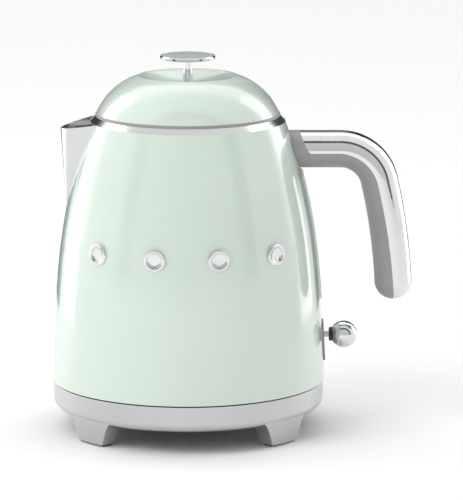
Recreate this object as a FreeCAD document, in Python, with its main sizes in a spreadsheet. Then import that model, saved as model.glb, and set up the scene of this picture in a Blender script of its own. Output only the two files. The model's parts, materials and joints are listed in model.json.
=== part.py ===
import FreeCAD, Part
import math
import os
import re
import Sketcher

# A small cordless kettle: an enamelled jug that lifts off and turns on a round power base with four feet.
# Millimetres. The jug's own axis is vertical; +X points to the handle, -X to the spout, -Y to the front, z = 0
# is the surface it stands on. Every piece is then shifted by axis_x so that x = 0 is the middle of the whole.

SIZES = {
    # painted steel wall of the jug: two arcs that meet at the waist
    "body_foot_radius": 75.88,
    "body_waist_radius": 72.03,
    "body_top_radius": 53.8,
    "shell_bottom_z": 28.0,
    "body_waist_z": 90.9,
    "body_top_z": 172.2,
    "body_lower_curve": 1067.0,
    "body_upper_curve": 318.6,
    "shell_wall": 1.2,
    # steel neck collar that the lid rests on
    "collar_lip_z": 169.0,
    "collar_top_z": 175.2,
    "collar_mouth_radius": 48.6,
    "collar_top_radius": 50.8,
    "collar_lip_radius": 51.0,
    # pouring spout
    "spout_reach": 70.1,
    "spout_tip_z": 168.0,
    "spout_root_x": 48.5,
    "spout_root_z": 172.6,
    "spout_point_x": 67.25,
    "spout_point_z": 126.3,
    "spout_nose_radius": 10.5,
    "spout_wall": 1.2,
    # water vessel's floor and what heats it
    "floor_top_z": 63.0,
    "floor_thick": 1.0,
    "spreader_radius": 42.0,
    "spreader_thick": 3.0,
    "element_radius": 35.5,
    "element_tube_radius": 3.3,
    # control under the floor
    "housing_radius": 30.0,
    "housing_low_z": 36.0,
    "housing_high_z": 53.5,
    "housing_cavity_radius": 22.6,
    "housing_cavity_z": 46.2,
    "housing_leg_ring": 26.6,
    "bimetal_radius": 9.0,
    # cover under the jug
    "cover_low_z": 28.4,
    "cover_high_z": 30.2,
    "cover_hole_radius": 19.4,
    "cover_foot_radius": 66.0,
    "cover_foot_width": 6.0,
    # round power connector: post on the base, socket in the jug
    "deck_top_z": 26.0,
    "deck_thick": 1.5,
    "post_radius": 9.5,
    "post_low_z": 20.0,
    "post_high_z": 40.0,
    "post_flange_radius": 20.0,
    "contact_radius": 10.2,
    "contact_low_z": 29.5,
    "contact_step": 4.5,
    "contact_height": 2.0,
    "socket_bore_radius": 10.7,
    "socket_outer_radius": 19.0,
    "socket_flange_radius": 22.0,
    "socket_low_z": 26.6,
    "socket_high_z": 45.6,
    # power base
    "base_radius": 75.0,
    "skirt_top_z": 27.1,
    "skirt_low_z": 12.8,
    "skirt_round": 4.5,
    "skirt_wall": 1.8,
    "base_opening_radius": 62.0,
    "foot_top_angle": 43.5,
    "foot_low_angle": 41.0,
    "foot_top_half": 19.0,
    "foot_bend_half": 13.6,
    "foot_bend_z": 11.0,
    "foot_low_half": 10.3,
    "foot_low_radius": 71.4,
    "foot_inner": 62.3,
    "pad_thick": 1.0,
    "screw_ring": 46.0,
    "grommet_z": 19.5,
    "grommet_bore": 3.2,
    # level window on the handle side
    "window_low_z": 72.1,
    "window_high_z": 145.0,
    "window_half": 7.0,
    "window_proud": 0.9,
    # handle
    "handle_reach": 124.0,
    "handle_arm_z": 156.2,
    "handle_bend_x": 84.0,
    "handle_bend_radius": 22.2,
    "handle_bend_end_z": 139.0,
    "handle_tip_z": 82.2,
    "handle_half_thick": 10.3,
    "handle_half_wide": 11.5,
    "handle_cover_thick": 1.8,
    "handle_split_drop": 1.0,
    # switch
    "switch_pivot_x": 64.0,
    "switch_z": 51.7,
    "switch_ball_x": 86.4,
    "switch_ball_radius": 7.5,
    "switch_stem_radius": 1.65,
    "switch_arm": 10.0,
    "pin_radius": 1.5,
    "plate_low_z": 36.9,
    "plate_high_z": 60.2,
    "plate_half": 8.0,
    # studs on the front
    "stud_z": 106.5,
    "stud_radius": 6.0,
    "stud_proud": 1.5,
    # steam tube
    "steam_tube_ring": 48.0,
    "steam_tube_radius": 3.4,
    # filter behind the spout
    "filter_low_z": 133.0,
    "filter_high_z": 163.0,
    "filter_low_x": 60.3,
    "filter_high_x": 51.8,
    "filter_half": 17.0,
    "filter_thick": 1.8,
    # lid
    "lid_low_z": 176.8,
    "lid_radius": 50.45,
    "lid_crown_radius": 27.7,
    "lid_crown_z": 196.9,
    "lid_curve": 36.3,
    "lid_thick": 1.2,
    "dish_radius": 25.0,
    "dish_edge_z": 196.3,
    "dish_low_z": 189.3,
    "dish_curve": 48.0,
    "plug_radius": 46.3,
    "plug_low_z": 165.2,
    "knob_radius": 15.3,
    "knob_low_z": 205.9,
    "knob_top_z": 208.2,
    "inlay_radius": 14.2,
    "stem_radius": 2.3,
    # shared
    "hair": 0.1,
}

parts = []

doc = FreeCAD.newDocument("kettle")
sheet = doc.addObject("Spreadsheet::Sheet", "dims")
for row, (name, size) in enumerate(SIZES.items(), 1):
    sheet.set(f"A{row}", name)
    sheet.set(f"B{row}", str(size))
    sheet.setAlias(f"B{row}", name)
FOLLOWING = {
    "axis_x": "=(body_foot_radius - handle_reach) / 2",
    # radius and corner distance of a foot's face at its four levels, from the skirt down to the sole
    "foot_near_half": "=0.35 * foot_top_half + 0.65 * foot_bend_half",
    "foot_near_radius": "=0.81 * base_radius + 0.19 * foot_low_radius",
    "foot_bend_radius": "=0.61 * base_radius + 0.39 * foot_low_radius",
    "foot_top_far": "=sqrt(base_radius ^ 2 - foot_top_half ^ 2)",
    "foot_near_far": "=sqrt(foot_near_radius ^ 2 - foot_near_half ^ 2)",
    "foot_bend_far": "=sqrt(foot_bend_radius ^ 2 - foot_bend_half ^ 2)",
    "foot_low_far": "=sqrt(foot_low_radius ^ 2 - foot_low_half ^ 2)",
}
for row, (name, formula) in enumerate(FOLLOWING.items(), len(SIZES) + 1):
    sheet.set(f"A{row}", name)
    sheet.set(f"B{row}", formula)
    sheet.setAlias(f"B{row}", name)
    doc.recompute()


def V(x, y, z=0.0):
    return FreeCAD.Vector(x, y, z)


def number(text):
    """Value of a sum of products of sizes, such as 'body_top_z - 2*hair'."""
    total = 0.0
    sign = 1.0
    for word in text.split():
        if word in ("+", "-"):
            sign = 1.0 if word == "+" else -1.0
            continue
        product = sign
        for factor in word.split("*"):
            if factor.startswith("-"):
                product = -product
                factor = factor[1:]
            product *= float(sheet.get(factor)) if factor[0].isalpha() else float(factor)
        total += product
        sign = 1.0
    return total


def linked(text):
    """The same sum with every name pointing at the sheet."""
    return re.sub(r"[a-z]\w*", lambda found: "dims." + found.group(0), text)


def times(factor, text):
    """The sum with every term multiplied by a plain number."""
    words = [word if word in ("+", "-") else f"{factor}*{word}" for word in text.split()]
    return " ".join(words)


def minus(text):
    """The sum with its sign turned round."""
    flipped = {"+": "-", "-": "+"}
    words = [flipped.get(word, word) for word in text.split()]
    return " ".join(["-" + words[0]] + words[1:])


def bind(thing, prop, text):
    thing.setExpression(prop, linked(text))


def sketch_on(body, role, name, offset="0"):
    plane = [f for f in body.Origin.OriginFeatures if f.Role == role][0]
    sketch = body.newObject("Sketcher::SketchObject", name)
    sketch.AttachmentSupport = [(plane, "")]
    sketch.MapMode = "FlatFace"
    bind(sketch, "AttachmentOffset.Base.z", offset)
    return sketch


def fix_point(sketch, edge, end, x, y):
    """Hold one end of an edge at two sizes measured from the sketch's origin."""
    across = sketch.addConstraint(Sketcher.Constraint("DistanceX", edge, end, number(x)))
    bind(sketch, f"Constraints[{across}]", x)
    up = sketch.addConstraint(Sketcher.Constraint("DistanceY", edge, end, number(y)))
    bind(sketch, f"Constraints[{up}]", y)


def fix_radius(sketch, edge, radius):
    held = sketch.addConstraint(Sketcher.Constraint("Radius", edge, number(radius)))
    bind(sketch, f"Constraints[{held}]", radius)


def arc_between(here, there, radius, left):
    """Minor arc from one point to another; left says on which side of the way its centre lies."""
    chord = there - here
    half = chord.Length / 2
    rise = math.sqrt(max(radius * radius - half * half, 0.0))
    side = 1.0 if left else -1.0
    centre = here + chord * 0.5 + V(-chord.y, chord.x) * (side * rise / chord.Length)
    first, second = (here, there) if left else (there, here)
    start = math.atan2(first.y - centre.y, first.x - centre.x)
    end = math.atan2(second.y - centre.y, second.x - centre.x)
    return Part.ArcOfCircle(Part.Circle(centre, V(0, 0, 1), radius), start, end)


def outline(sketch, corners):
    """Closed outline. A corner is (x, y) or (x, y, radius), the radius bending the edge that leaves it.

    A radius written with a minus has its centre on the right of the way round, otherwise on the left.
    """
    spots = [V(number(corner[0]), number(corner[1])) for corner in corners]
    base = sketch.GeometryCount
    tails = []
    heads = []
    for index, corner in enumerate(corners):
        here = spots[index]
        there = spots[(index + 1) % len(spots)]
        if len(corner) == 2:
            sketch.addGeometry(Part.LineSegment(here, there), False)
            tails.append(1)
            heads.append(2)
            continue
        left = not corner[2].startswith("-")
        radius = corner[2].lstrip("-")
        sketch.addGeometry(arc_between(here, there, number(radius), left), False)
        tails.append(1 if left else 2)
        heads.append(2 if left else 1)
    count = len(corners)
    for index in range(count):
        follower = (index + 1) % count
        sketch.addConstraint(
            Sketcher.Constraint("Coincident", base + index, heads[index], base + follower, tails[follower])
        )
    for index, corner in enumerate(corners):
        fix_point(sketch, base + index, tails[index], corner[0], corner[1])
        if len(corner) == 3:
            fix_radius(sketch, base + index, corner[2].lstrip("-"))


def turned(name, corners):
    """Body made by turning an (r, z) outline round the jug's axis."""
    body = doc.addObject("PartDesign::Body", name)
    sketch = sketch_on(body, "XZ_Plane", name + "_outline")
    outline(sketch, corners)
    spin = body.newObject("PartDesign::Revolution", name + "_turn")
    spin.Profile = sketch
    spin.ReferenceAxis = (sketch, ["V_Axis"])
    spin.Angle = 360
    body.Tip = spin
    return body


def disc(name, inner, outer, low, high):
    """Flat ring or, with inner '0', a disc."""
    return turned(name, [(inner, low), (outer, low), (outer, high), (inner, high)])


def prism(name, role, corners, low, high):
    """Straight prism on one of the origin planes, from low to high along that plane's normal."""
    body = doc.addObject("PartDesign::Body", name)
    sketch = sketch_on(body, role, name + "_outline", low)
    outline(sketch, corners)
    pad = body.newObject("PartDesign::Pad", name + "_pad")
    pad.Profile = sketch
    pad.setExpression("Length", f"({linked(high)}) - ({linked(low)})")
    body.Tip = pad
    return body


def block(name, low, high):
    box = doc.addObject("Part::Box", name)
    for side, start, end, axis in zip(("Length", "Width", "Height"), low, high, "xyz"):
        box.setExpression(side, f"({linked(end)}) - ({linked(start)})")
        bind(box, "Placement.Base." + axis, start)
    return box


def rod(name, radius, start, length, axis="Z"):
    """Round bar from a start point along +X, +Y or +Z."""
    bar = doc.addObject("Part::Cylinder", name)
    if axis == "X":
        bar.Placement.Rotation = FreeCAD.Rotation(V(0, 1, 0), 90)
    if axis == "Y":
        bar.Placement.Rotation = FreeCAD.Rotation(V(1, 0, 0), -90)
    bind(bar, "Radius", radius)
    bind(bar, "Height", length)
    for letter, place in zip("xyz", start):
        bind(bar, "Placement.Base." + letter, place)
    return bar


def around(name, count, ring, make, first=0.0):
    """The same piece at equal angles on a ring; make(name, x, y) builds one, x and y being texts."""
    made = []
    for index in range(count):
        angle = math.radians(first + 360.0 * index / count)
        across = round(math.cos(angle), 6)
        along = round(math.sin(angle), 6)
        made.append(make(f"{name}_{index + 1}", f"{across}*{ring}", f"{along}*{ring}"))
    return made


def fused(name, shapes):
    whole = doc.addObject("Part::MultiFuse", name)
    whole.Shapes = shapes
    return whole


def common(name, shapes):
    whole = doc.addObject("Part::MultiCommon", name)
    whole.Shapes = shapes
    return whole


def cut(name, solid, tool):
    whole = doc.addObject("Part::Cut", name)
    whole.Base = solid
    whole.Tool = tool
    return whole


def group(name, pieces):
    whole = doc.addObject("Part::Compound", name)
    whole.Links = pieces
    return whole


def shape_of(name, shape):
    made = doc.addObject("Part::Feature", name)
    made.Shape = shape
    return made


def keep(thing, label):
    """Enter a finished sub-part: its label is its file name, and it moves onto the middle of the whole."""
    thing.Label = label
    thing.setExpression("Placement.Base.x", "dims.axis_x")
    parts.append(thing)
    return thing


def wall_band(name, inside, outside):
    """Band that follows the jug's wall between two distances from its outer face."""
    return turned(name, [
        ("body_foot_radius + " + outside, "shell_bottom_z", "body_lower_curve"),
        ("body_waist_radius + " + outside, "body_waist_z", "body_upper_curve"),
        ("body_top_radius + " + outside, "body_top_z"),
        ("body_top_radius + " + inside, "body_top_z", "-body_upper_curve"),
        ("body_waist_radius + " + inside, "body_waist_z", "-body_lower_curve"),
        ("body_foot_radius + " + inside, "shell_bottom_z"),
    ])


def wall_solid(name, outside, top_extra):
    """Everything inside the jug's wall, with a straight neck above it."""
    return turned(name, [
        ("0", "shell_bottom_z"),
        ("body_foot_radius + " + outside, "shell_bottom_z", "body_lower_curve"),
        ("body_waist_radius + " + outside, "body_waist_z", "body_upper_curve"),
        ("body_top_radius + " + outside, "body_top_z"),
        ("body_top_radius + " + outside, "body_top_z + " + top_extra),
        ("0", "body_top_z + " + top_extra),
    ])


def slot_prism(name, half, low, high):
    """Upright slot shape with bowed ends, reaching along +X from inside the jug."""
    low_corner = low + " + " + times(0.5, half)
    high_corner = high + " + " + minus(times(0.5, half))
    corners = [
        (minus(half), low_corner, times(1.25, half)),
        (half, low_corner),
        (half, high_corner, times(1.25, half)),
        (minus(half), high_corner),
    ]
    return prism(name, "YZ_Plane", corners, "0.5*body_foot_radius", "1.5*body_foot_radius")


# ---------------------------------------------------------------- power base

def foot(name, turn, side):
    """One tapering foot: a smooth loft that flares out into the skirt and narrows down to its sole."""
    levels = (
        ("skirt_low_z + skirt_round", "0.0*foot_low_angle + foot_top_angle", "foot_top_half", "base_radius", "foot_top_far"),
        ("0.5*skirt_low_z + 0.5*skirt_round + 0.5*foot_bend_z", "0.2*foot_low_angle + 0.8*foot_top_angle",
         "foot_near_half", "foot_near_radius", "foot_near_far"),
        ("foot_bend_z", "0.4*foot_low_angle + 0.6*foot_top_angle",
         "foot_bend_half", "foot_bend_radius", "foot_bend_far"),
        ("pad_thick", "foot_low_angle", "foot_low_half", "foot_low_radius", "foot_low_far"),
    )
    body = doc.addObject("PartDesign::Body", name)
    sketches = []
    for level, (height, angle, half, radius, far) in enumerate(levels):
        sketch = sketch_on(body, "XY_Plane", f"{name}_level_{level}", height)
        bind(sketch, "AttachmentOffset.Rotation.Angle", f"{turn} + {side} * ({angle})")
        outline(sketch, [
            ("foot_inner", "-" + half),
            (far, "-" + half, radius),
            (far, half),
            ("foot_inner", half),
        ])
        sketches.append(sketch)
    loft = body.newObject("PartDesign::AdditiveLoft", name + "_loft")
    loft.Profile = sketches[0]
    loft.Sections = sketches[1:]
    loft.Ruled = False
    loft.Closed = False
    body.Tip = loft
    return body


def build_base():
    skirt = turned("skirt", [
        ("base_radius", "skirt_top_z"),
        ("base_radius - skirt_wall", "skirt_top_z"),
        ("base_radius - skirt_wall", "deck_top_z - deck_thick"),
        ("base_radius - skirt_wall - 2.2", "deck_top_z - deck_thick"),
        ("base_radius - skirt_wall - 2.2", "deck_top_z - deck_thick - 1.2"),
        ("base_radius - skirt_wall", "deck_top_z - deck_thick - 3"),
        ("base_radius - skirt_wall", "skirt_low_z + skirt_round"),
        ("base_radius - skirt_round", "skirt_low_z + skirt_wall"),
        ("base_opening_radius", "skirt_low_z + skirt_wall"),
        ("base_opening_radius", "skirt_low_z"),
        ("base_radius - skirt_round", "skirt_low_z", "skirt_round"),
        ("base_radius", "skirt_low_z + skirt_round"),
    ])
    inlet = rod("inlet", "grommet_bore + 1.2", ("0", "0.8*base_radius", "grommet_z"), "0.4*base_radius", "Y")
    keep(cut("skirt_with_inlet", skirt, inlet), "base_skirt")

    above_feet = turned("above_feet", [
        ("0", "skirt_low_z"),
        ("base_radius - skirt_round", "skirt_low_z", "skirt_round"),
        ("base_radius + 0.6*hair", "skirt_low_z + skirt_round"),
        ("base_radius + 0.6*hair", "skirt_top_z"),
        ("0", "skirt_top_z"),
    ])
    feet = [foot(f"foot_{turn}_{index}", turn, side) for index, side in enumerate((1, -1)) for turn in (0, 180)]
    keep(cut("feet_trimmed", group("feet_whole", feet), above_feet), "base_feet")

    sleeve = rod("sleeve", "grommet_bore + 1.1", ("0", "0.9*base_radius", "grommet_z"), "0.1*base_radius", "Y")
    collar = rod("sleeve_collar", "grommet_bore + 1.6", ("0", "0.9*base_radius", "grommet_z"), "3", "Y")
    bore = rod("cord_bore", "grommet_bore", ("0", "0.8*base_radius", "grommet_z"), "0.3*base_radius", "Y")
    keep(cut("grommet", fused("grommet_solid", [sleeve, collar]), bore), "cord_grommet")

    pads = []
    for index, sign in enumerate(("", "-")):
        for turn in (0, 180):
            body = doc.addObject("PartDesign::Body", f"pad_{index}_{turn}")
            sketch = sketch_on(body, "XY_Plane", f"pad_{index}_{turn}_outline")
            bind(sketch, "AttachmentOffset.Rotation.Angle", f"{turn} + {sign}foot_low_angle")
            outline(sketch, [
                ("foot_inner + 1", "-foot_low_half + 1.2"),
                ("foot_low_radius - 2", "-foot_low_half + 1.2"),
                ("foot_low_radius - 2", "foot_low_half - 1.2"),
                ("foot_inner + 1", "foot_low_half - 1.2"),
            ])
            pad = body.newObject("PartDesign::Pad", f"pad_{index}_{turn}_pad")
            pad.Profile = sketch
            bind(pad, "Length", "pad_thick")
            body.Tip = pad
            pads.append(body)
    keep(group("pads", pads), "foot_pads")

    plate = disc("deck_plate", "post_radius + 1.1", "base_radius - skirt_wall - 2*hair",
                 "deck_top_z - deck_thick", "deck_top_z")
    bosses = around("boss", 4, "screw_ring", lambda name, x, y: rod(
        name, "3.6", (x, y, "skirt_low_z + skirt_wall"), "deck_top_z - deck_thick + 0.5 - skirt_low_z - skirt_wall"))
    pilots = around("pilot", 4, "screw_ring", lambda name, x, y: rod(
        name, "1.55", (x, y, "skirt_low_z"), "9.5"))
    deck = cut("deck", fused("deck_solid", [plate] + bosses), fused("pilots", pilots))
    keep(deck, "base_deck")

    under = disc("under_plate", "0", "base_opening_radius - 3*hair", "skirt_low_z", "skirt_low_z + skirt_wall")
    holes = around("hole", 4, "screw_ring", lambda name, x, y: rod(name, "1.7", (x, y, "skirt_low_z - 5"), "15"))
    keep(cut("under", under, fused("holes", holes)), "base_bottom_cover")

    def base_screw(name, x, y):
        shank = rod(name + "_shank", "1.5", (x, y, "skirt_low_z"), "9")
        head = rod(name + "_head", "3", (x, y, "skirt_low_z - 1.4"), "1.4")
        return fused(name, [shank, head])
    keep(group("screws", around("screw", 4, "screw_ring", base_screw)), "base_screws")

    post = turned("post", [
        ("0", "post_low_z"),
        ("post_flange_radius", "post_low_z"),
        ("post_flange_radius", "deck_top_z - deck_thick - hair"),
        ("post_radius", "deck_top_z - deck_thick - hair"),
        ("post_radius", "post_high_z - 1"),
        ("post_radius - 1", "post_high_z"),
        ("0", "post_high_z"),
    ])
    keep(post, "connector_post")
    rings = []
    for index in range(2):
        low = f"contact_low_z + {index}*contact_step"
        rings.append(disc(f"live_ring_{index}", "post_radius", "contact_radius", low, low + " + contact_height"))
    keep(group("live_rings", rings), "contact_rings")
    pin = turned("earth", [
        ("0", "post_high_z"),
        ("2", "post_high_z"),
        ("2", "post_high_z + 2"),
        ("1", "post_high_z + 3"),
        ("0", "post_high_z + 3"),
    ])
    keep(pin, "earth_pin")
    terminals = block("terminals", ("-12", "-7", "post_low_z - 4.6"), ("12", "7", "post_low_z"))
    wells = around("well", 2, "7", lambda name, x, y: rod(name, "2.2", (x, y, "post_low_z - 5"), "3.4"))
    keep(cut("terminal_body", terminals, fused("wells", wells)), "terminal_block")


def build_socket():
    groove_one = "contact_low_z"
    groove_two = "contact_low_z + contact_step"
    back = "socket_bore_radius + 1"
    socket = turned("socket", [
        ("socket_bore_radius", "socket_low_z"),
        ("socket_outer_radius", "socket_low_z"),
        ("socket_outer_radius", "cover_high_z + 3*hair"),
        ("socket_flange_radius", "cover_high_z + 3*hair"),
        ("socket_flange_radius", "cover_high_z + 2"),
        ("socket_outer_radius", "cover_high_z + 2"),
        ("socket_outer_radius", "socket_high_z"),
        ("0", "socket_high_z"),
        ("0", "post_high_z + 4"),
        ("2.6", "post_high_z + 4"),
        ("2.6", "post_high_z + 1"),
        ("socket_bore_radius", "post_high_z + 1"),
        ("socket_bore_radius", groove_two + " + contact_height"),
        (back, groove_two + " + contact_height"),
        (back, groove_two),
        ("socket_bore_radius", groove_two),
        ("socket_bore_radius", groove_one + " + contact_height"),
        (back, groove_one + " + contact_height"),
        (back, groove_one),
        ("socket_bore_radius", groove_one),
    ])
    keep(socket, "power_socket")
    rings = []
    for index, low in enumerate((groove_one, groove_two)):
        rings.append(disc(f"socket_ring_{index}", "socket_bore_radius", back, low, low + " + contact_height"))
    keep(group("socket_rings", rings), "socket_contacts")


# ---------------------------------------------------------------- jug

def spout_cone(reach, nose, back, apex, stretch):
    """Cone from a point on the jug's wall to a parabola that lies in the tilted plane of the spout's rim."""
    tip_z = sheet.get("spout_tip_z")
    slope = (sheet.get("spout_root_z") - tip_z) / (sheet.get("spout_reach") - sheet.get("spout_root_x"))
    depth = back + reach
    half = math.sqrt(2 * nose * depth)

    def on_rim(x, y):
        spot = V(x, y, tip_z + slope * (x + sheet.get("spout_reach")))
        return apex + (spot - apex) * stretch

    far_left = on_rim(back, half)
    far_right = on_rim(back, -half)
    curve = Part.BezierCurve()
    curve.setPoles([far_left, on_rim(-reach - depth, 0), far_right])
    rim = [curve.toShape(), Part.LineSegment(far_right, far_left).toShape()]
    faces = []
    for edge in rim:
        faces.append(Part.makeLoft([Part.Vertex(apex), Part.Wire([edge])], False, True).Faces[0])
    faces.append(Part.Face(Part.Wire(rim)))
    shell = Part.Shell(faces)
    solid = Part.Solid(shell)
    if solid.Volume < 0:
        solid.reverse()
    return solid


def build_spout(core):
    wall = sheet.get("spout_wall")
    reach = sheet.get("spout_reach")
    nose = sheet.get("spout_nose_radius")
    back = -0.55 * reach
    apex = V(-sheet.get("spout_point_x"), 0, sheet.get("spout_point_z"))
    outer = spout_cone(reach, nose, back, apex, 1.0)
    inner_apex = apex + V(1.6 * wall, 0, 2.5 * wall)
    inner = spout_cone(reach - wall, nose - 0.7 * wall, back + 2.0, inner_apex, 1.06)
    outer_body = shape_of("spout_outer", outer)
    inner_body = shape_of("spout_inner", inner)
    keep(cut("spout_trimmed", cut("spout_hollow", outer_body, inner_body), core), "spout")
    return inner


def build_jug():
    core = wall_solid("jug_core", "0", "12")
    inner = build_spout(core)

    band = wall_band("jug_band", "-shell_wall", "0")
    tools = [
        shape_of("spout_opening", inner),
        slot_prism("window_slot", "window_half - 2.5", "window_low_z + 4", "window_high_z - 4"),
        slot_prism("switch_hole", "0.5*plate_half", "switch_z - 7.5", "switch_z + 4"),
    ]
    for index, height in enumerate(("handle_arm_z - 4.6", "handle_arm_z + 4.4")):
        tools.append(rod(f"handle_hole_{index}", "2.2", ("0.6*body_top_radius", "0", height), "40", "X"))
    keep(cut("jug_wall", band, fused("jug_openings", tools)), "body_shell")

    collar = turned("collar", [
        ("collar_mouth_radius", "collar_lip_z"),
        ("collar_lip_radius", "collar_lip_z"),
        ("collar_lip_radius", "body_top_z"),
        ("body_top_radius", "body_top_z"),
        ("collar_top_radius", "collar_top_z"),
        ("collar_mouth_radius", "collar_top_z"),
    ])
    keep(collar, "neck_collar")

    hollow = wall_solid("jug_hollow", "-shell_wall", "1")
    tube_x = "0.7*steam_tube_ring"
    tube_y = "0.714*steam_tube_ring"
    floor_disc = disc("floor_disc", "0", "1.5*body_foot_radius", "floor_top_z - floor_thick", "floor_top_z")
    tube_hole = rod("tube_hole", "steam_tube_radius", (tube_x, tube_y, "floor_top_z - 8"), "20")
    keep(cut("floor", common("floor_fit", [hollow, floor_disc]), tube_hole), "vessel_floor")
    tube = rod("tube", "steam_tube_radius", (tube_x, tube_y, "floor_top_z - 14"), "body_top_z - floor_top_z - 4")
    tube_way = rod("tube_way", "steam_tube_radius - 0.8", (tube_x, tube_y, "floor_top_z - 20"), "body_top_z")
    keep(cut("tube_hollow", tube, tube_way), "steam_tube")

    spread_top = "floor_top_z - floor_thick"
    keep(disc("spreader", "0", "spreader_radius", spread_top + " - spreader_thick", spread_top), "heat_spreader")
    ring = doc.addObject("Part::Torus", "element_ring")
    bind(ring, "Radius1", "element_radius")
    bind(ring, "Radius2", "element_tube_radius")
    ring.Angle3 = 325
    bind(ring, "Placement.Base.z", spread_top + " - spreader_thick - element_tube_radius - 0.5*hair")
    keep(group("element", [ring]), "heating_element")

    build_control(hollow)
    build_window()
    build_handle(core)
    build_switch()
    build_studs(core)
    build_filter()


def build_control(hollow):
    cup = turned("control_cup", [
        ("housing_cavity_radius", "housing_low_z"),
        ("housing_radius", "housing_low_z"),
        ("housing_radius", "housing_high_z"),
        ("3", "housing_high_z"),
        ("3", "floor_top_z - floor_thick - spreader_thick - 1.2"),
        ("0", "floor_top_z - floor_thick - spreader_thick - 1.2"),
        ("0", "housing_cavity_z"),
        ("housing_cavity_radius", "housing_cavity_z"),
    ])
    legs = around("leg", 3, "housing_leg_ring", lambda name, x, y: rod(
        name, "3.3", (x, y, "cover_high_z"), "housing_low_z + 1 - cover_high_z"), 60)
    arm = block("guide_arm", ("housing_radius - 2", "-4.5", "switch_z - 13.7"),
                ("switch_pivot_x - switch_arm + 4.5", "4.5", "switch_z - 9.7"))
    guide = rod("guide_hole", "pin_radius + 0.05",
                ("switch_pivot_x - switch_arm", "0", "switch_z - 25"), "20")
    pilots = around("leg_pilot", 3, "housing_leg_ring", lambda name, x, y: rod(
        name, "1.45", (x, y, "cover_high_z - 5"), "12"), 60)
    solid = fused("control_solid", [cup, arm] + legs)
    keep(cut("control", solid, fused("control_holes", pilots + [guide])), "control_housing")

    top = "floor_top_z - floor_thick - spreader_thick"
    keep(disc("bimetal", "0", "bimetal_radius", top + " - 1.2", top + " - 0.5"), "bimetal_disc")

    plate = common("cover_fit", [hollow, disc("cover_disc", "cover_hole_radius", "1.5*body_foot_radius",
                                              "cover_low_z", "cover_high_z")])
    rim = disc("cover_foot", "cover_foot_radius - cover_foot_width", "cover_foot_radius",
               "deck_top_z", "cover_low_z + 0.5")
    holes = around("cover_hole", 3, "housing_leg_ring", lambda name, x, y: rod(
        name, "1.6", (x, y, "cover_low_z - 5"), "10"), 60)
    keep(cut("cover", fused("cover_solid", [plate, rim]), fused("cover_holes", holes)), "underbody_cover")

    def cover_screw(name, x, y):
        shank = rod(name + "_shank", "1.4", (x, y, "cover_low_z"), "8")
        head = rod(name + "_head", "2.8", (x, y, "cover_low_z - 1.4"), "1.4")
        return fused(name, [shank, head])
    keep(group("cover_screws", around("cover_screw", 3, "housing_leg_ring", cover_screw, 60)), "underbody_screws")


def build_window():
    proud = common("pane_face", [
        wall_band("pane_band", "0", "window_proud"),
        slot_prism("pane_shape", "window_half", "window_low_z", "window_high_z"),
    ])
    plug = common("pane_plug", [
        wall_band("plug_band", "-shell_wall - 1", "0.2*window_proud"),
        slot_prism("plug_shape", "window_half - 2.7", "window_low_z + 4.2", "window_high_z - 4.2"),
    ])
    keep(fused("pane", [proud, plug]), "level_window")
    frame = common("gasket_face", [
        wall_band("gasket_band", "-shell_wall - 1", "-shell_wall"),
        slot_prism("gasket_shape", "window_half", "window_low_z", "window_high_z"),
    ])
    opening = slot_prism("gasket_opening", "window_half - 2.5", "window_low_z + 4", "window_high_z - 4")
    keep(cut("gasket", frame, opening), "window_gasket")


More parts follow.
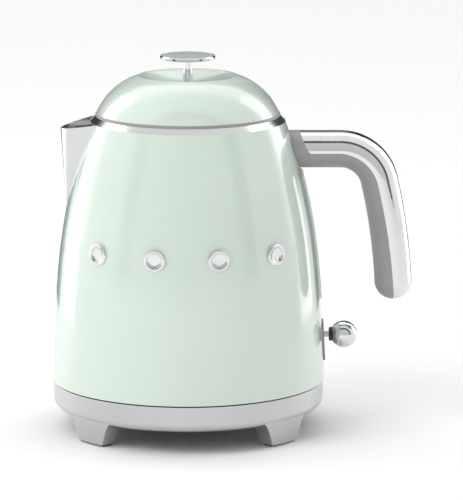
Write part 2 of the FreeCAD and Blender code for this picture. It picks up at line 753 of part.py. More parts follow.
def handle_sweep(name, inset, half_thick, half_wide):
    """Oval bar along the handle's centre line, closed by a rounded end."""
    body = doc.addObject("PartDesign::Body", name)
    path = sketch_on(body, "XZ_Plane", name + "_path")
    arm_z = number("handle_arm_z")
    bend_x = number("handle_bend_x")
    radius = number("handle_bend_radius")
    start = V(number("0.7*body_top_radius"), arm_z)
    corner = V(bend_x, arm_z)
    centre = V(bend_x, arm_z - radius)
    rise = number("handle_bend_end_z") - centre.y
    low = V(bend_x + math.sqrt(radius * radius - rise * rise), centre.y + rise)
    tip = V(number("handle_reach - handle_half_thick"), number("handle_tip_z"))
    lean = math.atan2(rise, low.x - bend_x)
    out = V(math.cos(lean), math.sin(lean))
    chord = tip - low
    long_radius = -chord.dot(chord) / (2 * chord.dot(out))
    long_centre = low - out * long_radius
    end_angle = math.atan2(tip.y - long_centre.y, tip.x - long_centre.x)
    path.addGeometry(Part.LineSegment(start, corner), False)
    path.addGeometry(Part.ArcOfCircle(Part.Circle(centre, V(0, 0, 1), radius), lean, math.pi / 2), False)
    path.addGeometry(Part.ArcOfCircle(Part.Circle(long_centre, V(0, 0, 1), long_radius), end_angle, lean), False)
    path.addConstraint(Sketcher.Constraint("Horizontal", 0))
    path.addConstraint(Sketcher.Constraint("Tangent", 0, 2, 1, 2))
    path.addConstraint(Sketcher.Constraint("Tangent", 1, 1, 2, 2))
    fix_point(path, 0, 1, "0.7*body_top_radius", "handle_arm_z")
    held = path.addConstraint(Sketcher.Constraint("DistanceX", 0, 2, bend_x))
    bind(path, f"Constraints[{held}]", "handle_bend_x")
    fix_radius(path, 1, "handle_bend_radius")
    held = path.addConstraint(Sketcher.Constraint("DistanceY", 1, 1, low.y))
    bind(path, f"Constraints[{held}]", "handle_bend_end_z")
    fix_point(path, 2, 1, "handle_reach - handle_half_thick", "handle_tip_z")

    section = sketch_on(body, "YZ_Plane", name + "_section", "0.7*body_top_radius")
    wide = number(half_wide)
    thick = number(half_thick)
    middle = V(0, arm_z)
    oval = Part.Ellipse(middle + V(wide, 0), middle + V(0, thick), middle)
    section.addGeometry(oval, False)
    section.exposeInternalGeometry(0)
    section.addConstraint(Sketcher.Constraint("Horizontal", 1))
    fix_point(section, 0, 3, "0", "handle_arm_z")
    for line, size, value in ((1, half_wide, wide), (2, half_thick, thick)):
        held = section.addConstraint(Sketcher.Constraint("Distance", line, 2 * value))
        section.setExpression(f"Constraints[{held}]", f"2 * ({linked(size)})")
    pipe = body.newObject("PartDesign::AdditivePipe", name + "_pipe")
    pipe.Profile = section
    pipe.Spine = (path, ["Edge1", "Edge2", "Edge3"])
    body.Tip = pipe

    end = doc.addObject("Part::Ellipsoid", name + "_end")
    bind(end, "Radius1", half_thick)
    bind(end, "Radius2", half_thick)
    bind(end, "Radius3", half_wide)
    bind(end, "Placement.Base.x", "handle_reach - handle_half_thick")
    bind(end, "Placement.Base.z", "handle_tip_z")
    return fused(name + "_whole", [body, end])


def build_handle(core):
    whole = handle_sweep("grip_bar", "0", "handle_half_thick", "handle_half_wide")
    inside = handle_sweep("grip_core", "handle_cover_thick", "handle_half_thick - handle_cover_thick",
                          "handle_half_wide - handle_cover_thick")
    split_z = "handle_arm_z - handle_split_drop"
    bend_low = "handle_bend_end_z"
    leg_x = "handle_bend_x + 0.96*handle_bend_radius - handle_split_drop"
    tip_x = "handle_reach - handle_half_thick"
    zone = prism("cover_zone", "XZ_Plane", [
        ("handle_bend_x - 16.5", split_z),
        ("handle_bend_x", split_z, "-handle_bend_radius + handle_split_drop"),
        (leg_x, bend_low, "-350"),
        (tip_x, "handle_tip_z - 5"),
        (tip_x, "handle_tip_z - 30"),
        ("handle_reach + 20", "handle_tip_z - 30"),
        ("handle_reach + 20", "handle_arm_z + 20"),
        ("handle_bend_x - 24", "handle_arm_z + 20"),
        ("handle_bend_x - 23", "handle_arm_z + 12"),
        ("handle_bend_x - 20.4", "handle_arm_z + 5.6"),
        ("handle_bend_x - 18.3", "handle_arm_z + 0.9"),
    ], "-30", "30")
    cover = cut("cover_shell", common("cover_half", [whole, zone]), inside)
    screws = []
    holes = []
    for index, height in enumerate(("handle_arm_z - 4.6", "handle_arm_z + 4.4")):
        spot = ("body_top_radius + 0.6", "0", height)
        shank = rod(f"handle_shank_{index}", "2", spot, "20", "X")
        head = rod(f"handle_head_{index}", "3.6", ("body_top_radius - 3.2", "0", height), "2.4", "X")
        neck = rod(f"handle_neck_{index}", "2", ("body_top_radius - 1.5", "0", height), "3", "X")
        screws.append(fused(f"handle_screw_{index}", [shank, head, neck]))
        holes.append(rod(f"grip_hole_{index}", "2.05", ("body_top_radius - 5", "0", height), "26.2", "X"))
    rest = cut("grip_rest", cut("grip_less_cover", whole, cover), core)
    keep(cut("grip", rest, fused("grip_holes", holes)), "handle_grip")
    keep(group("cover_piece", [cover]), "handle_cover")
    keep(group("handle_screw_pair", screws), "handle_screws")
    plate = block("backing", ("body_top_radius - 0.8", "-9", "handle_arm_z - 9"),
                  ("body_top_radius + 0.6", "9", "handle_arm_z + 7.8"))
    passages = []
    for index, height in enumerate(("handle_arm_z - 4.6", "handle_arm_z + 4.4")):
        passages.append(rod(f"plate_hole_{index}", "2.05", ("body_top_radius - 5", "0", height), "10", "X"))
    keep(cut("handle_plate_cut", plate, fused("plate_holes", passages)), "handle_plate")


def build_switch():
    face = common("switch_face", [
        wall_band("switch_band", "0", "0.9*window_proud"),
        slot_prism("switch_face_shape", "plate_half", "plate_low_z", "plate_high_z"),
    ])
    slit = slot_prism("switch_slit", "switch_stem_radius + 1", "switch_z - 6.2", "switch_z + 3")
    keep(cut("switch_plate", face, slit), "switch_escutcheon")

    ear = "2*switch_stem_radius + 0.1"
    bracket = block("bracket_block", ("switch_pivot_x - 4", "-6.6", "switch_z - 9"),
                    ("switch_pivot_x + 8", "6.6", "switch_z + 5"))
    pocket = block("bracket_pocket", ("switch_pivot_x - 10", minus(ear), "switch_z - 6.5"),
                   ("switch_pivot_x + 12", ear, "switch_z + 10"))
    hole = rod("bracket_hole", "pin_radius + 0.02", ("switch_pivot_x", "-10", "switch_z"), "20", "Y")
    keep(cut("bracket", bracket, fused("bracket_cuts", [pocket, hole])), "switch_bracket")
    pin = rod("pin", "pin_radius", ("switch_pivot_x", "-6.6", "switch_z"), "13.2", "Y")
    keep(group("pin_piece", [pin]), "pivot_pin")

    stem = rod("stem", "switch_stem_radius", ("switch_pivot_x - switch_arm - 2", "0", "switch_z"),
               "switch_ball_x - switch_pivot_x + switch_arm - 3", "X")
    hub = rod("hub", "2*switch_stem_radius", ("switch_pivot_x", "-3", "switch_z"), "6", "Y")
    bore = rod("hub_bore", "pin_radius + 0.05", ("switch_pivot_x", "-5", "switch_z"), "10", "Y")
    keep(cut("lever", fused("lever_solid", [stem, hub]), bore), "switch_lever")

    ball = doc.addObject("Part::Sphere", "ball_whole")
    bind(ball, "Radius", "switch_ball_radius")
    bind(ball, "Placement.Base.x", "switch_ball_x")
    bind(ball, "Placement.Base.z", "switch_z")
    flat = block("ball_flat", ("switch_ball_x - 2*switch_ball_radius", "-switch_ball_radius",
                               "switch_z - switch_ball_radius"),
                 ("switch_ball_x - 0.86*switch_ball_radius", "switch_ball_radius", "switch_z + switch_ball_radius"))
    socket = rod("ball_socket", "switch_stem_radius + 0.02",
                 ("switch_ball_x - switch_ball_radius", "0", "switch_z"), "switch_ball_radius - 4.9", "X")
    keep(cut("ball", ball, fused("ball_cuts", [flat, socket])), "switch_ball")
    washer = rod("washer", "0.51*switch_ball_radius",
                 ("switch_ball_x - 0.86*switch_ball_radius - 1.7", "0", "switch_z"), "1.7", "X")
    washer_hole = rod("washer_hole", "switch_stem_radius + 0.02",
                      ("switch_ball_x - 2*switch_ball_radius", "0", "switch_z"), "2*switch_ball_radius", "X")
    keep(cut("washer_ring", washer, washer_hole), "switch_collar")

    slider = rod("slider", "pin_radius", ("switch_pivot_x - switch_arm", "0", "switch_z - 19"),
                 "17.05 - switch_stem_radius - pin_radius + 0.15 + 1.5")
    nose = doc.addObject("Part::Sphere", "slider_nose")
    bind(nose, "Radius", "pin_radius")
    bind(nose, "Placement.Base.x", "switch_pivot_x - switch_arm")
    bind(nose, "Placement.Base.z", "switch_z - switch_stem_radius - pin_radius - 0.3")
    keep(fused("slider_whole", [slider, nose]), "push_rod")


def build_studs(core):
    studs = []
    for index, angle in enumerate((-43.0, -14.2, 14.2, 43.0)):
        turn = math.radians(angle)
        heading = V(math.sin(turn), -math.cos(turn), 0)
        stud = doc.addObject("Part::Cylinder", f"stud_{index}")
        stud.Placement.Rotation = FreeCAD.Rotation(V(0, 0, 1), heading)
        bind(stud, "Radius", "stud_radius")
        start = "body_waist_radius - 10"
        bind(stud, "Height", "8 + stud_proud")
        stud.setExpression("Placement.Base.x", f"{round(heading.x, 6)} * ({linked(start)})")
        stud.setExpression("Placement.Base.y", f"{round(heading.y, 6)} * ({linked(start)})")
        bind(stud, "Placement.Base.z", "stud_z")
        studs.append(stud)
    keep(cut("studs_trimmed", group("studs_whole", studs), core), "badge_studs")


def build_filter():
    low = "-filter_low_x"
    high = "-filter_high_x"
    frame = prism("filter_plate", "XZ_Plane", [
        (low, "filter_low_z"),
        (low + " + filter_thick", "filter_low_z"),
        (high + " + filter_thick", "filter_high_z"),
        (high, "filter_high_z"),
    ], "-filter_half", "filter_half")
    window = block("filter_window", ("-1.2*filter_low_x", "-filter_half + 2.5", "filter_low_z + 3"),
                   ("-0.5*filter_high_x", "filter_half - 2.5", "filter_high_z - 3"))
    keep(cut("filter_edge", frame, window), "filter_frame")
    sheet_mesh = prism("mesh_plate", "XZ_Plane", [
        (low + " + 0.7", "filter_low_z"),
        (low + " + 1.1", "filter_low_z"),
        (high + " + 1.1", "filter_high_z"),
        (high + " + 0.7", "filter_high_z"),
    ], "-filter_half", "filter_half")
    field = block("mesh_field", ("-1.2*filter_low_x", "-filter_half + 2.5", "filter_low_z + 3"),
                  ("-0.5*filter_high_x", "filter_half - 2.5", "filter_high_z - 3"))
    keep(common("mesh", [sheet_mesh, field]), "filter_mesh")


# ---------------------------------------------------------------- lid

def build_lid():
    dome = turned("dome", [
        ("lid_radius", "lid_low_z", "lid_curve"),
        ("lid_crown_radius", "lid_crown_z", "2"),
        ("dish_radius", "dish_edge_z", "-dish_curve"),
        ("stem_radius + 0.3", "dish_low_z"),
        ("stem_radius + 0.3", "dish_low_z - lid_thick", "dish_curve"),
        ("dish_radius", "dish_edge_z - lid_thick"),
        ("lid_crown_radius - 0.4", "lid_crown_z - lid_thick - 0.2", "-lid_curve"),
        ("lid_radius - lid_thick", "lid_low_z"),
    ])
    keep(dome, "lid_dome")
    trim = turned("trim", [
        ("plug_radius - 0.8", "collar_top_z"),
        ("lid_radius + 0.45", "collar_top_z"),
        ("lid_radius + 0.45", "lid_low_z - 0.5"),
        ("lid_radius + 0.1", "lid_low_z"),
        ("plug_radius - 0.8", "lid_low_z"),
    ])
    keep(trim, "lid_trim_ring")
    plug = turned("plug", [
        ("0", "plug_low_z"),
        ("plug_radius", "plug_low_z"),
        ("plug_radius", "collar_top_z"),
        ("plug_radius - lid_thick", "collar_top_z"),
        ("plug_radius - lid_thick", "plug_low_z + lid_thick"),
        ("0", "plug_low_z + lid_thick"),
    ])
    keep(plug, "lid_inner_plate")
    keep(disc("seal", "plug_radius", "collar_mouth_radius - 0.4", "collar_top_z - 5", "collar_top_z - 2.6"),
         "lid_seal")
    stem = turned("knob_post", [
        ("0", "dish_low_z - 7.3"),
        ("stem_radius - 0.4", "dish_low_z - 7.3"),
        ("stem_radius - 0.4", "dish_low_z + 0.15"),
        ("stem_radius + 1.3", "dish_low_z + 0.15"),
        ("stem_radius + 1.1", "dish_low_z + 1"),
        ("stem_radius + 0.6", "dish_low_z + 5"),
        ("stem_radius", "knob_low_z - 5"),
        ("stem_radius", "knob_low_z"),
        ("0", "knob_low_z"),
    ])
    keep(stem, "knob_stem")
    keep(disc("nut", "stem_radius - 0.35", "stem_radius + 2.2", "dish_low_z - 4.8", "dish_low_z - lid_thick"),
         "knob_nut")
    head = turned("knob_head", [
        ("0", "knob_low_z"),
        ("knob_radius - 2.5", "knob_low_z"),
        ("knob_radius - 0.4", "knob_low_z + 0.4"),
        ("knob_radius", "knob_low_z + 1"),
        ("knob_radius - 0.1", "knob_top_z - 0.5"),
        ("knob_radius - 0.5", "knob_top_z"),
        ("inlay_radius + 0.3", "knob_top_z"),
        ("inlay_radius + 0.3", "knob_top_z - 1"),
        ("0", "knob_top_z - 1"),
    ])
    keep(head, "knob_disc")
    inlay = turned("inlay", [
        ("0", "knob_top_z - 1"),
        ("inlay_radius", "knob_top_z - 1"),
        ("inlay_radius", "knob_top_z - 0.2"),
        ("inlay_radius - 1", "knob_top_z + 0.05"),
        ("0", "knob_top_z + 0.2"),
    ])
    keep(inlay, "knob_inlay")


build_base()
build_socket()
build_jug()
build_lid()
doc.recompute()

troubles = []
for thing in doc.Objects:
    if "Invalid" in thing.State or "Error" in thing.State:
        troubles.append(f"{thing.Name}: {thing.State}")
for thing in parts:
    if thing.Shape.isNull() or not thing.Shape.isValid():
        troubles.append(f"{thing.Label}: shape null or not valid")
if troubles:
    raise SystemExit("\n".join(troubles))

os.makedirs("parts", exist_ok=True)
for thing in parts:
    thing.Shape.exportStep(f"parts/{thing.Label}.step")
print(len(parts), "parts written")
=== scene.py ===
import json
import math

import bmesh
import bpy
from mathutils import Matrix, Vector


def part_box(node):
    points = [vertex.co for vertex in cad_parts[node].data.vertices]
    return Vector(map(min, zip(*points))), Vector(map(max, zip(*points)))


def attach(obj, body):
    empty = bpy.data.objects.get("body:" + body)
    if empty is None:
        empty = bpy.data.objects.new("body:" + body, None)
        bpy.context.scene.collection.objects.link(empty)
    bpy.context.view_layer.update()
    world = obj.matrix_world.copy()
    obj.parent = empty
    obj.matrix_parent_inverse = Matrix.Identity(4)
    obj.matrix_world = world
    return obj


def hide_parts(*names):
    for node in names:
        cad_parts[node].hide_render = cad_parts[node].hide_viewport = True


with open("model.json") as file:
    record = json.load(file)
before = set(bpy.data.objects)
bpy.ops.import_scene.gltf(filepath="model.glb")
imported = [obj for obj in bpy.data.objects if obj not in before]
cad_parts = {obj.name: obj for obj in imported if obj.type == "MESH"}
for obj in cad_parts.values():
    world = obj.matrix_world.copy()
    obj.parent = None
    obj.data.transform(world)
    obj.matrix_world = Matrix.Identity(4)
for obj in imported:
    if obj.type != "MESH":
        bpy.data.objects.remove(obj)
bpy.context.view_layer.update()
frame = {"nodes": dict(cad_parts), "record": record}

# The jug's own upright axis, read from the lid, and a camera that looks 11 degrees down at the kettle.
LID_LOW, LID_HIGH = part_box("lid_dome")
AXIS_X = (LID_LOW.x + LID_HIGH.x) / 2
CAMERA_DISTANCE = 2.05
CAMERA_HEIGHT = 0.4967
CAMERA_PITCH = 10.973
CAMERA_LENS = 271.2

KEY_PLACE = (-1.4, -1.2, 1.9)
KEY_TARGET = (0.0, 0.0, 0.1)
KEY_SIDE = 1.4
KEY_POWER = 25.0

# Angles of the studs from the front, how far a stud's rim swells, and how deep its foot goes into the wall.
STUD_ANGLES = (14.2, 43.0)
STUD_CROWN = 0.00055
STUD_ROOT = 0.0045
FLOOR_HALF = 6.0

# Brightness of the room at each number of degrees away from the front.
ROOM_BANDS = (
    (0, 0.66), (48, 0.74), (54, 0.10), (62, 0.10), (68, 1.0), (104, 1.05),
    (110, 1.8), (129, 1.8), (136, 0.25), (180, 0.25),
)

# Light strips and dark cards round the kettle, in degrees from the front, metres and watts.
STRIP_ANGLE = 119.0
STRIP_DISTANCE = 0.5
STRIP_WIDE = 0.2
STRIP_TALL = 0.7
STRIP_POWER = 0.7
# Angle, distance, width and height of each dark card; the low one is for the base.
CARDS = ((150.0, 0.42, 0.16, 0.5), (158.0, 0.125, 0.06, 0.06))


# ---------------------------------------------------------------- materials

def new_material(name, color, metallic=0.0, roughness=0.3, coat=0.0, alpha=1.0, ior=1.5):
    """A Principled material; the values that stay the same all over are set on its own sockets."""
    material = bpy.data.materials.new(name)
    material.use_nodes = True
    shader = material.node_tree.nodes["Principled BSDF"]
    shader.inputs["Base Color"].default_value = (*color, 1.0)
    shader.inputs["Metallic"].default_value = metallic
    shader.inputs["Roughness"].default_value = roughness
    shader.inputs["Coat Weight"].default_value = coat
    shader.inputs["Coat Roughness"].default_value = 0.03
    shader.inputs["Alpha"].default_value = alpha
    shader.inputs["IOR"].default_value = ior
    return material


def object_noise(material, scale, detail=3.0, stretch=(1.0, 1.0, 1.0)):
    """Noise laid out in the object's own metres; returns its factor output."""
    tree = material.node_tree
    place = tree.nodes.new("ShaderNodeTexCoord")
    mapping = tree.nodes.new("ShaderNodeMapping")
    mapping.inputs["Scale"].default_value = stretch
    noise = tree.nodes.new("ShaderNodeTexNoise")
    noise.inputs["Scale"].default_value = scale
    noise.inputs["Detail"].default_value = detail
    tree.links.new(place.outputs["Object"], mapping.inputs["Vector"])
    tree.links.new(mapping.outputs["Vector"], noise.inputs["Vector"])
    return noise.outputs["Fac"]


def spread(material, factor, low, high, socket):
    """Map a 0 to 1 factor onto a range of numbers and feed it to the shader's socket."""
    tree = material.node_tree
    ranged = tree.nodes.new("ShaderNodeMapRange")
    ranged.inputs["From Min"].default_value = 0.3
    ranged.inputs["From Max"].default_value = 0.7
    ranged.inputs["To Min"].default_value = low
    ranged.inputs["To Max"].default_value = high
    tree.links.new(factor, ranged.inputs["Value"])
    tree.links.new(ranged.outputs["Result"], tree.nodes["Principled BSDF"].inputs[socket])


def tint(material, factor, first, second):
    """Blend two colours by a factor: close ones for the slight unevenness of a real finish, far apart ones
    on the steel mesh for painted shade between the wires.
    """
    tree = material.node_tree
    ramp = tree.nodes.new("ShaderNodeValToRGB")
    ramp.color_ramp.elements[0].position = 0.35
    ramp.color_ramp.elements[0].color = (*first, 1.0)
    ramp.color_ramp.elements[1].position = 0.65
    ramp.color_ramp.elements[1].color = (*second, 1.0)
    tree.links.new(factor, ramp.inputs["Fac"])
    tree.links.new(ramp.outputs["Color"], tree.nodes["Principled BSDF"].inputs["Base Color"])


def bump(material, factor, distance, strength=0.3):
    """Fine relief from a factor; distance is its depth in metres."""
    tree = material.node_tree
    relief = tree.nodes.new("ShaderNodeBump")
    relief.inputs["Distance"].default_value = distance
    relief.inputs["Strength"].default_value = strength
    tree.links.new(factor, relief.inputs["Height"])
    tree.links.new(relief.outputs["Normal"], tree.nodes["Principled BSDF"].inputs["Normal"])


def shade(color, amount):
    return tuple(channel * amount for channel in color)


def enamel():
    """Pastel green stove enamel: deep gloss with the faintest orange peel."""
    color = (0.61, 0.705, 0.63)
    material = new_material("enamel", color, roughness=0.2, coat=0.8)
    tint(material, object_noise(material, 22.0), shade(color, 0.985), shade(color, 1.01))
    spread(material, object_noise(material, 90.0), 0.14, 0.2, "Roughness")
    bump(material, object_noise(material, 420.0, 2.0), 0.00002, 0.12)
    return material


def polished_steel():
    """Polished stainless steel with a light round brushing."""
    color = (0.62, 0.625, 0.625)
    material = new_material("polished_steel", color, metallic=1.0, roughness=0.16)
    lines = object_noise(material, 60.0, 4.0, (1.0, 1.0, 40.0))
    spread(material, lines, 0.12, 0.22, "Roughness")
    tint(material, object_noise(material, 30.0), shade(color, 0.97), shade(color, 1.02))
    bump(material, lines, 0.00001, 0.1)
    return material


def chrome():
    """Mirror chrome plate with faint handling haze."""
    color = (0.72, 0.725, 0.73)
    material = new_material("chrome", color, metallic=1.0, roughness=0.06)
    spread(material, object_noise(material, 70.0, 5.0), 0.04, 0.09, "Roughness")
    tint(material, object_noise(material, 25.0), shade(color, 0.98), shade(color, 1.0))
    return material


def satin_chrome():
    """Die-cast base under satin chrome: soft reflections and a fine grain."""
    color = (0.54, 0.54, 0.55)
    material = new_material("satin_chrome", color, metallic=1.0, roughness=0.24)
    spread(material, object_noise(material, 140.0, 4.0), 0.22, 0.27, "Roughness")
    tint(material, object_noise(material, 20.0), shade(color, 0.98), shade(color, 1.01))
    bump(material, object_noise(material, 2600.0, 2.0), 0.000004, 0.1)
    return material


def grey_plastic():
    """Satin grey soft-touch plastic of the grip and the lid's ring."""
    color = (0.29, 0.29, 0.29)
    material = new_material("grey_plastic", color, roughness=0.42)
    tint(material, object_noise(material, 40.0), shade(color, 0.95), shade(color, 1.04))
    spread(material, object_noise(material, 130.0), 0.36, 0.48, "Roughness")
    bump(material, object_noise(material, 1800.0, 2.0), 0.00002, 0.25)
    return material


def black_plastic():
    """Spark-eroded black plastic."""
    color = (0.018, 0.018, 0.019)
    material = new_material("black_plastic", color, roughness=0.5)
    tint(material, object_noise(material, 60.0), shade(color, 0.8), shade(color, 1.3))
    bump(material, object_noise(material, 1400.0, 3.0), 0.00004, 0.4)
    spread(material, object_noise(material, 90.0), 0.42, 0.58, "Roughness")
    return material


def white_plastic():
    """Natural unpigmented plastic."""
    color = (0.72, 0.71, 0.67)
    material = new_material("white_plastic", color, roughness=0.4)
    tint(material, object_noise(material, 40.0), shade(color, 0.95), shade(color, 1.02))
    return material


def rubber():
    """Black rubber with a dusty bloom."""
    color = (0.022, 0.022, 0.022)
    material = new_material("rubber", color, roughness=0.75)
    tint(material, object_noise(material, 120.0), shade(color, 0.8), shade(color, 1.7))
    bump(material, object_noise(material, 900.0, 3.0), 0.00005, 0.4)
    return material


def silicone():
    """Translucent-looking pale seal rubber."""
    color = (0.55, 0.56, 0.55)
    material = new_material("silicone", color, roughness=0.55)
    tint(material, object_noise(material, 60.0), shade(color, 0.94), shade(color, 1.03))
    return material


def zinc_steel():
    """Bright zinc plate on screws and brackets."""
    color = (0.6, 0.61, 0.63)
    material = new_material("zinc_steel", color, metallic=1.0, roughness=0.35)
    tint(material, object_noise(material, 200.0), shade(color, 0.85), shade(color, 1.08))
    spread(material, object_noise(material, 250.0), 0.28, 0.45, "Roughness")
    return material


def aluminium():
    """Pressed aluminium plate."""
    color = (0.72, 0.725, 0.73)
    material = new_material("aluminium", color, metallic=1.0, roughness=0.4)
    spread(material, object_noise(material, 160.0), 0.33, 0.5, "Roughness")
    return material


def brass():
    """Contact brass, slightly browned."""
    color = (0.72, 0.55, 0.27)
    material = new_material("brass", color, metallic=1.0, roughness=0.3)
    tint(material, object_noise(material, 150.0), shade(color, 0.8), shade(color, 1.05))
    return material


def steel_mesh():
    """Fine woven steel wire: crossing ridges too small to model one by one; the openings between the wires
    are darkened as painted shade.
    """
    color = (0.62, 0.62, 0.62)
    material = new_material("steel_mesh", color, metallic=1.0, roughness=0.4)
    tree = material.node_tree
    place = tree.nodes.new("ShaderNodeTexCoord")
    for axis, socket in (("Y", "first"), ("Z", "second")):
        wave = tree.nodes.new("ShaderNodeTexWave")
        wave.name = socket
        wave.bands_direction = axis
        wave.inputs["Scale"].default_value = 700.0
        tree.links.new(place.outputs["Object"], wave.inputs["Vector"])
    weave = tree.nodes.new("ShaderNodeMath")
    weave.operation = "MAXIMUM"
    tree.links.new(tree.nodes["first"].outputs["Fac"], weave.inputs[0])
    tree.links.new(tree.nodes["second"].outputs["Fac"], weave.inputs[1])
    # Painted shade: the openings between the wires go down to 0.15 of the steel's colour, the wires keep
    # the full colour.
    tint(material, weave.outputs["Value"], shade(color, 0.15), color)
    bump(material, weave.outputs["Value"], 0.0001, 0.8)
    return material


def clear_plastic():
    """Clear level window with a cool tinge."""
    material = new_material("clear_plastic", (0.72, 0.78, 0.78), roughness=0.08, alpha=0.55, coat=0.3)
    spread(material, object_noise(material, 90.0), 0.06, 0.12, "Roughness")
    return material


MAKERS = (
    enamel, polished_steel, chrome, satin_chrome, grey_plastic, black_plastic, white_plastic,
    rubber, silicone, zinc_steel, aluminium, brass, steel_mesh, clear_plastic,
)
MATERIALS = {maker.__name__: maker() for maker in MAKERS}


def dress_cad_nodes():
    """Give every CAD node the material of its slot."""
    slots = {entry["node"]: entry["material_slot"] for entry in frame["record"]["subparts"]}
    for node, thing in frame["nodes"].items():
        thing.data.materials.clear()
        thing.data.materials.append(MATERIALS[slots[node]])


# ---------------------------------------------------------------- room

def plain(name, color, roughness=0.6):
    material = new_material(name, color, roughness=roughness)
    tint(material, object_noise(material, 3.0), shade(color, 0.995), color)
    return material


def build_floor():
    mesh = bpy.data.meshes.new("floor")
    half = FLOOR_HALF
    corners = [(-half, -half, 0), (half, -half, 0), (half, half, 0), (-half, half, 0)]
    mesh.from_pydata(corners, [], [(0, 1, 2, 3)])
    floor = bpy.data.objects.new("floor", mesh)
    bpy.context.scene.collection.objects.link(floor)
    mesh.materials.append(plain("floor_paint", (0.97, 0.97, 0.97)))


def build_world():
    """Soft studio: grey in front, a thin dark ring, white at the sides and dim behind.

    The camera itself sees plain white.
    """
    world = bpy.data.worlds.new("studio")
    world.use_nodes = True
    bpy.context.scene.world = world
    tree = world.node_tree
    nodes = tree.nodes
    links = tree.links
    background = nodes["Background"]
    place = nodes.new("ShaderNodeTexCoord")
    split = nodes.new("ShaderNodeSeparateXYZ")
    links.new(place.outputs["Generated"], split.inputs["Vector"])
    angle = nodes.new("ShaderNodeMath")
    angle.operation = "ARCCOSINE"
    flip = nodes.new("ShaderNodeMath")
    flip.operation = "MULTIPLY"
    flip.inputs[1].default_value = -1.0
    links.new(split.outputs["Y"], flip.inputs[0])
    links.new(flip.outputs["Value"], angle.inputs[0])
    share = nodes.new("ShaderNodeMath")
    share.operation = "DIVIDE"
    share.inputs[1].default_value = math.pi
    links.new(angle.outputs["Value"], share.inputs[0])
    ramp = nodes.new("ShaderNodeValToRGB")
    links.new(share.outputs["Value"], ramp.inputs["Fac"])
    elements = ramp.color_ramp.elements
    while len(elements) < len(ROOM_BANDS):
        elements.new(0.5)
    for element, (degrees, level) in zip(elements, ROOM_BANDS):
        element.position = degrees / 180.0
        element.color = (level, level, level, 1.0)
    path = nodes.new("ShaderNodeLightPath")
    mix = nodes.new("ShaderNodeMixRGB")
    links.new(path.outputs["Is Camera Ray"], mix.inputs["Fac"])
    links.new(ramp.outputs["Color"], mix.inputs["Color1"])
    mix.inputs["Color2"].default_value = (1.0, 1.0, 1.0, 1.0)
    links.new(mix.outputs["Color"], background.inputs["Color"])
    background.inputs["Strength"].default_value = 1.0


def add_area(name, place, target, size, power):
    light = bpy.data.lights.new(name, "AREA")
    light.shape = "RECTANGLE"
    light.size = size[0]
    light.size_y = size[1]
    light.energy = power
    lamp = bpy.data.objects.new(name, light)
    lamp.location = place
    lamp.rotation_euler = (Vector(target) - Vector(place)).to_track_quat("-Z", "Y").to_euler()
    lamp.visible_camera = False
    bpy.context.scene.collection.objects.link(lamp)
    return lamp


def around_kettle(degrees, distance, height):
    """A place at an angle from the front, positive towards the handle side."""
    turn = math.radians(degrees)
    return Vector((AXIS_X + distance * math.sin(turn), -distance * math.cos(turn), height))


def hide_but_reflect(thing):
    """Leave a lamp or a card out of sight and out of the soft light, so that only reflections show it."""
    thing.visible_camera = False
    thing.visible_diffuse = False


def add_card(name, degrees, distance, wide, tall, paint):
    """Dark upright card that stands on the floor and faces the kettle."""
    turn = math.radians(degrees)
    middle = around_kettle(degrees, distance, tall / 2)
    across = Vector((math.cos(turn), math.sin(turn), 0)) * wide / 2
    up = Vector((0, 0, tall / 2))
    corners = [middle - across - up, middle + across - up, middle + across + up, middle - across + up]
    mesh = bpy.data.meshes.new("card")
    mesh.from_pydata(corners, [], [(0, 1, 2, 3)])
    mesh.materials.append(paint)
    card = bpy.data.objects.new(name, mesh)
    hide_but_reflect(card)
    card.visible_shadow = False
    bpy.context.scene.collection.objects.link(card)


def build_strips():
    """Upright light strips beside the kettle and dark cards behind them, seen only as reflections."""
    paint = new_material("card_paint", (0.03, 0.03, 0.03), roughness=0.9)
    target = (AXIS_X, 0.0, STRIP_TALL / 2)
    for side in (-1, 1):
        place = around_kettle(side * STRIP_ANGLE, STRIP_DISTANCE, STRIP_TALL / 2)
        strip = add_area(f"strip_{side}", place, target, (STRIP_WIDE, STRIP_TALL), STRIP_POWER)
        hide_but_reflect(strip)
        strip.data.use_shadow = False
        for angle, distance, wide, tall in CARDS:
            add_card(f"card_{side}_{angle}", side * angle, distance, wide, tall, paint)


# ---------------------------------------------------------------- studs

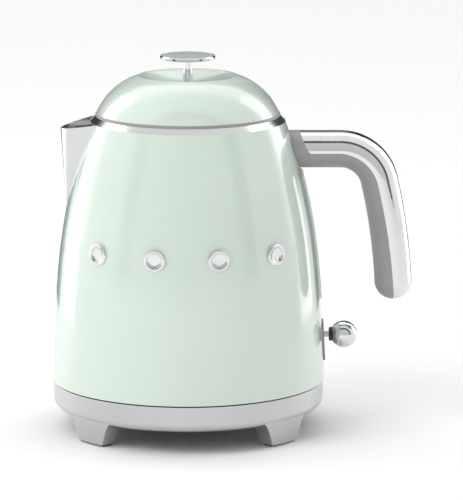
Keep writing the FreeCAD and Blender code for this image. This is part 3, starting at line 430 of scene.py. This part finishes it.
def lathe(name, profile, origin, axis, segments=72):
    """Turn a profile of (radius, distance along the axis) pairs round an axis through a point."""
    axis = Vector(axis).normalized()
    side = axis.orthogonal().normalized()
    other = axis.cross(side)
    bm = bmesh.new()
    rings = []
    for radius, along in profile:
        ring = []
        for step in range(segments if radius > 0 else 1):
            turn = 2 * math.pi * step / segments
            spoke = side * math.cos(turn) + other * math.sin(turn)
            ring.append(bm.verts.new(Vector(origin) + axis * along + spoke * radius))
        rings.append(ring)
    for lower, upper in zip(rings, rings[1:]):
        for step in range(segments):
            following = (step + 1) % segments
            corners = []
            for vertex in (lower[step % len(lower)], lower[following % len(lower)],
                           upper[following % len(upper)], upper[step % len(upper)]):
                if vertex not in corners:
                    corners.append(vertex)
            bm.faces.new(corners)
    bmesh.ops.recalc_face_normals(bm, faces=bm.faces)
    for face in bm.faces:
        face.smooth = True
    mesh = bpy.data.meshes.new(name)
    bm.to_mesh(mesh)
    bm.free()
    piece = bpy.data.objects.new(name, mesh)
    bpy.context.scene.collection.objects.link(piece)
    return piece


def build_studs():
    """Four plain chrome studs: a dished face inside a rounded raised rim."""
    low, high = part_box("badge_studs")
    radius = (high.z - low.z) / 2
    height = (high.z + low.z) / 2
    inner = math.radians(STUD_ANGLES[0])
    reach = (-low.y - radius * math.sin(inner)) / math.cos(inner)
    rim = 0.16 * radius
    profile = [
        (0.0, -0.0009),
        (0.45 * radius, -0.00082),
        (0.68 * radius, -0.00062),
        (radius - 1.9 * rim, -0.0004),
    ]
    for step in range(9):
        turn = math.pi * step / 8
        profile.append((radius - rim - rim * math.cos(turn), STUD_CROWN * (math.sin(turn) - 1)))
    profile += [(radius, -0.0012), (radius, -STUD_ROOT), (0.0, -STUD_ROOT)]
    for side in (-1, 1):
        for place, angle in enumerate(STUD_ANGLES):
            turn = math.radians(side * angle)
            outward = Vector((math.sin(turn), -math.cos(turn), 0))
            centre = Vector((AXIS_X, 0, height)) + outward * reach
            stud = lathe(f"stud_{'left' if side < 0 else 'right'}_{place}", profile, centre, outward)
            stud.data.materials.append(MATERIALS["chrome"])
            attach(stud, "jug")
            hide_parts("badge_studs")


def build_camera():
    camera = bpy.data.cameras.new("camera")
    camera.lens = CAMERA_LENS
    camera.sensor_width = 36.0
    camera.clip_end = 20.0
    eye = bpy.data.objects.new("camera", camera)
    eye.location = (0.0, -CAMERA_DISTANCE, CAMERA_HEIGHT)
    eye.rotation_euler = (math.radians(90.0 - CAMERA_PITCH), 0.0, 0.0)
    bpy.context.scene.collection.objects.link(eye)
    bpy.context.scene.camera = eye


dress_cad_nodes()
build_studs()
build_floor()
build_world()
key = add_area("key", KEY_PLACE, KEY_TARGET, (KEY_SIDE, KEY_SIDE), KEY_POWER)
key.visible_glossy = False
build_strips()
build_camera()
bpy.context.scene.view_settings.view_transform = "Standard"
